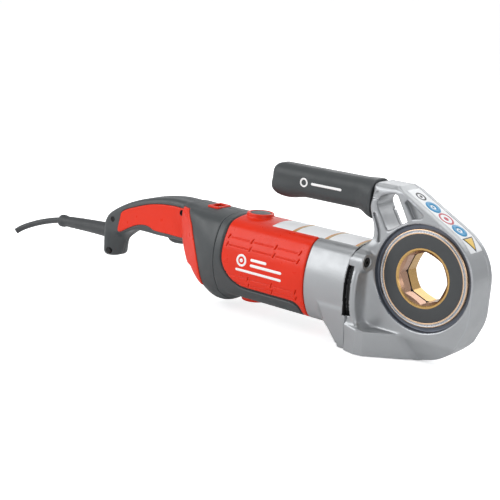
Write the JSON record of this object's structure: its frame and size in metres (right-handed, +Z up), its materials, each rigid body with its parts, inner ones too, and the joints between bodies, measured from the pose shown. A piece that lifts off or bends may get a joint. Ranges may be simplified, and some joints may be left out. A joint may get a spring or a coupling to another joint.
{
  "type": "pipe threading machine",
  "caption": "Hand-held power pipe threader: motor barrel, cast gear head with an eight-sided die head socket, front grip, and rear handle with trigger and cord.",
  "frame": {"origin": "on the flat rest face under the head, straight below the middle of the die head socket, in the tool's mid-plane", "axes": "+X along the barrel towards the nose, +Z up, and the socket's axis lies along Y with -Y the side shown in the picture"},
  "size_m": [0.7135, 0.096, 0.185],
  "materials": {
    "cast_aluminium": "fine die-cast satin",
    "black_screw_steel": "blackened",
    "bronze": "machined",
    "dark_plate": "satin dark grey",
    "plated_rim": "yellow zinc plate",
    "plated_socket": "yellow zinc plate over machined steel",
    "spring_steel": "blue-grey spring steel",
    "gear_steel": "ground and oiled",
    "bearing_steel": "ground",
    "lamination": "stacked sheet",
    "copper_wire": "varnished copper",
    "commutator_copper": "turned copper",
    "brush_brass": "drawn",
    "carbon": "matt carbon",
    "charcoal_plastic": "fine moulded texture",
    "red_plastic": "semi-gloss moulded",
    "grip_rubber": "satin moulded rubber",
    "film_case": "moulded",
    "clamp_plastic": "moulded",
    "cord_rubber": "matt rubber"
  },
  "bodies": {
    "body": {"head_casting": "cast_aluminium", "head_cover": "cast_aluminium", "cover_screws": "black_screw_steel", "front_bush": "bronze", "rear_bush": "bronze", "front_plate": "dark_plate", "rear_plate": "dark_plate", "front_rim": "plated_rim", "rear_rim": "plated_rim", "cross_bearings": "bearing_steel", "bevel_shaft_bearings": "bearing_steel", "layshaft_bearings": "bearing_steel", "gear_case": "cast_aluminium", "case_screws": "black_screw_steel", "bearing_bridge": "cast_aluminium", "motor_plate": "cast_aluminium", "armature_bearings": "bearing_steel", "stator_core": "lamination", "field_coils": "copper_wire", "brush_holders": "brush_brass", "brushes": "carbon", "brush_springs": "spring_steel", "brush_cap_top": "charcoal_plastic", "brush_cap_bottom": "charcoal_plastic", "motor_housing": "red_plastic", "lower_sled": "charcoal_plastic", "grip_sleeve": "grip_rubber", "grip_bolt": "black_screw_steel", "handle_left_shell": "charcoal_plastic", "handle_right_shell": "charcoal_plastic", "handle_screws": "black_screw_steel", "left_inlay": "red_plastic", "right_inlay": "red_plastic", "left_crescent": "red_plastic", "right_crescent": "red_plastic", "slide_bezel": "red_plastic", "trigger_pin": "spring_steel", "trigger_spring": "spring_steel", "switch_body": "charcoal_plastic", "capacitor": "film_case", "cord_clamp": "clamp_plastic", "cord_boot": "cord_rubber", "cord": "cord_rubber"},
    "drive": {"drive_ring": "plated_socket", "socket_snap_ring": "spring_steel"},
    "cross": {"cross_shaft": "gear_steel", "spur_pinion": "gear_steel", "bevel_gear": "gear_steel"},
    "bevel_shaft": {"bevel_pinion_shaft": "gear_steel", "bevel_shaft_gear": "gear_steel"},
    "lay": {"layshaft": "gear_steel", "layshaft_gear": "gear_steel"},
    "armature": {"armature_shaft": "gear_steel", "armature_core": "lamination", "armature_coils": "copper_wire", "commutator": "commutator_copper", "fan": "charcoal_plastic"},
    "trigger": {"trigger": "charcoal_plastic"},
    "reversing": {"reversing_slide": "charcoal_plastic"}
  },
  "joints": [
    {"name": "drive_spin", "type": "hinge", "parent": "body", "child": "drive", "pos_m": [0, 0, 0.094], "axis": [0, 1, 0], "continuous": true},
    {"name": "cross_spin", "type": "hinge", "parent": "body", "child": "cross", "pos_m": [-0.0547, 0, 0.067], "axis": [0, 1, 0], "continuous": true},
    {"name": "bevel_shaft_spin", "type": "hinge", "parent": "body", "child": "bevel_shaft", "pos_m": [-0.09, 0, 0.067], "axis": [1, 0, 0], "continuous": true},
    {"name": "lay_spin", "type": "hinge", "parent": "body", "child": "lay", "pos_m": [-0.105, 0.01768, 0.04932], "axis": [1, 0, 0], "continuous": true},
    {"name": "armature_spin", "type": "hinge", "parent": "body", "child": "armature", "pos_m": [-0.18, 0, 0.067], "axis": [1, 0, 0], "continuous": true},
    {"name": "trigger_pull", "type": "hinge", "parent": "body", "child": "trigger", "pos_m": [-0.35, 0, 0.075], "axis": [0, 1, 0], "range_deg": [0, 8], "stiffness_Nm_per_rad": 0.6, "springref_deg": -2.86, "deforming": ["trigger_spring"]},
    {"name": "reverse_slide", "type": "slide", "parent": "body", "child": "reversing", "axis": [1, 0, 0], "range_m": [-0.004, 0.004]}
  ],
  "couplings": [
    {"joint": "cross_spin", "follows": "drive_spin", "ratio": -3.6923},
    {"joint": "bevel_shaft_spin", "follows": "drive_spin", "ratio": -9.8462},
    {"joint": "lay_spin", "follows": "drive_spin", "ratio": 39.385},
    {"joint": "armature_spin", "follows": "drive_spin", "ratio": -157.54}
  ]
}
